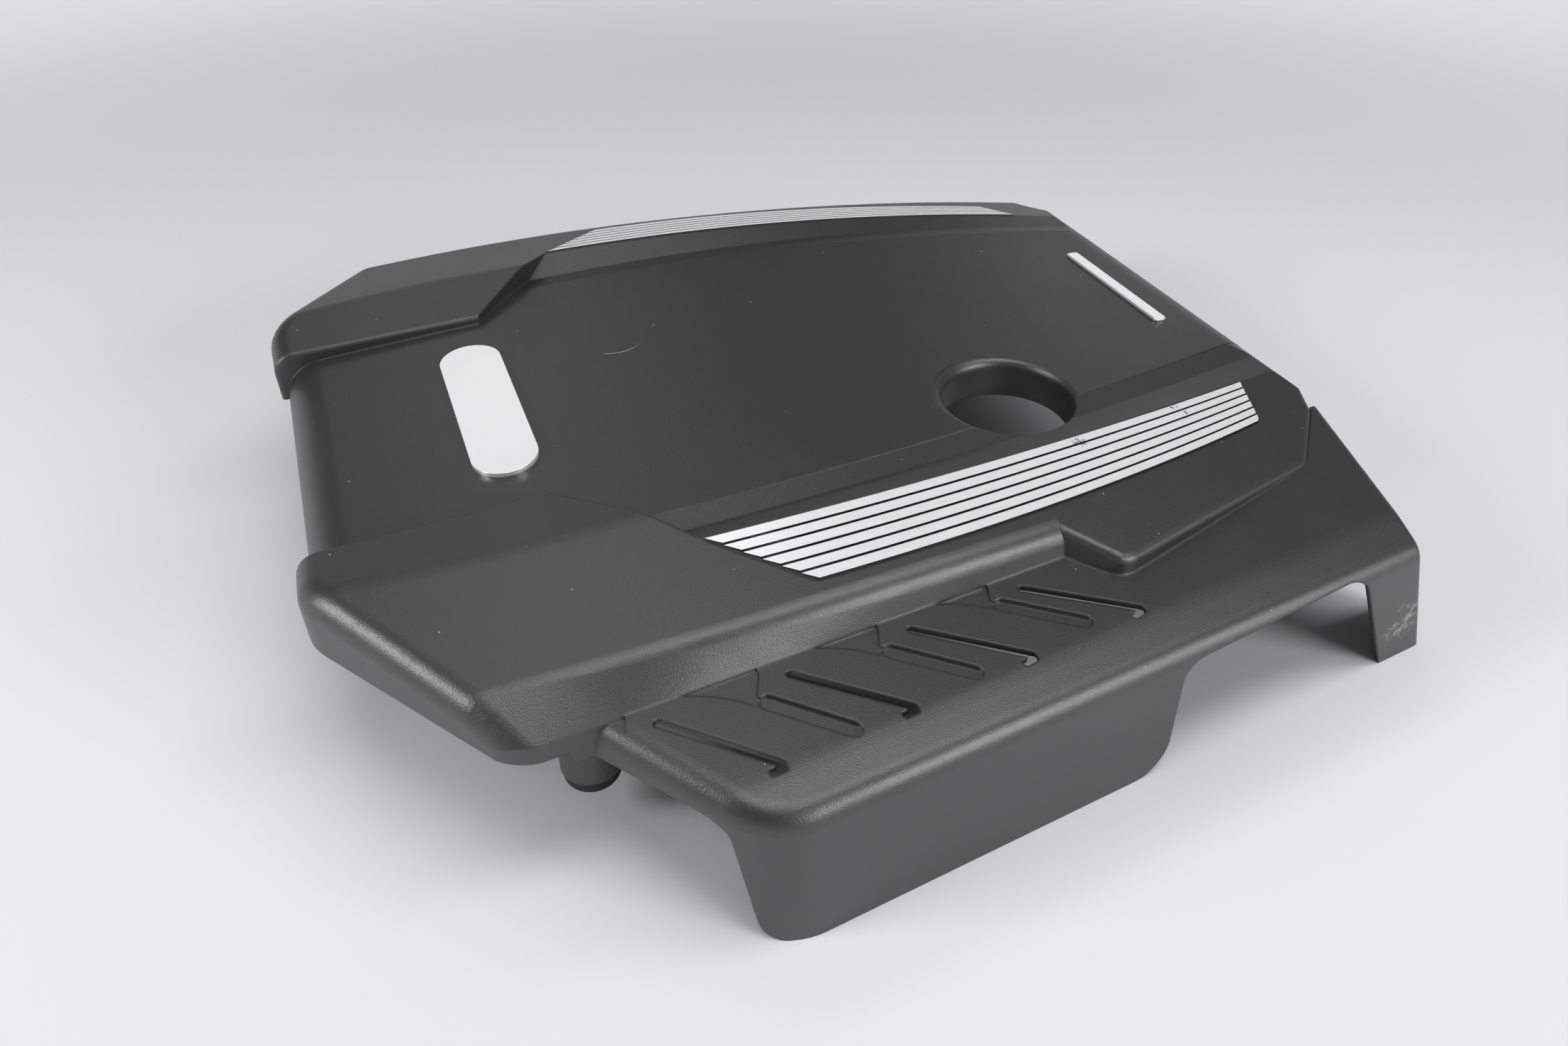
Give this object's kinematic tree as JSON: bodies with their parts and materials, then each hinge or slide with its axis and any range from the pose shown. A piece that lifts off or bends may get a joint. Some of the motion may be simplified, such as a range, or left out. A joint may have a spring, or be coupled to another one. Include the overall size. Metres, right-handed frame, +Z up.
{
  "type": "engine cover",
  "caption": "Moulded black engine cover with raised side bands, ribbed bright trim strips, an oil filler hole and a louvred side shelf.",
  "frame": {"origin": "on the ground under the middle of the cover's box", "axes": "+X from the front lip to the rear edge, +Y towards the right side, +Z up"},
  "size_m": [0.5828, 0.5536, 0.1196],
  "materials": {
    "shell_plastic": "fine-grained satin black moulding",
    "bright_trim": "satin silver ribs with black grooves",
    "badge_chrome": "polished",
    "grommet_rubber": "matt black rubber"
  },
  "bodies": {
    "root": {"cover_shell": "shell_plastic", "trim_strip_left": "bright_trim", "trim_strip_right": "bright_trim", "front_badge": "badge_chrome", "rear_badge": "badge_chrome", "grommet_front_left": "grommet_rubber", "grommet_front_right": "grommet_rubber", "grommet_rear_left": "grommet_rubber", "grommet_rear_right": "grommet_rubber"}
  },
  "joints": []
}
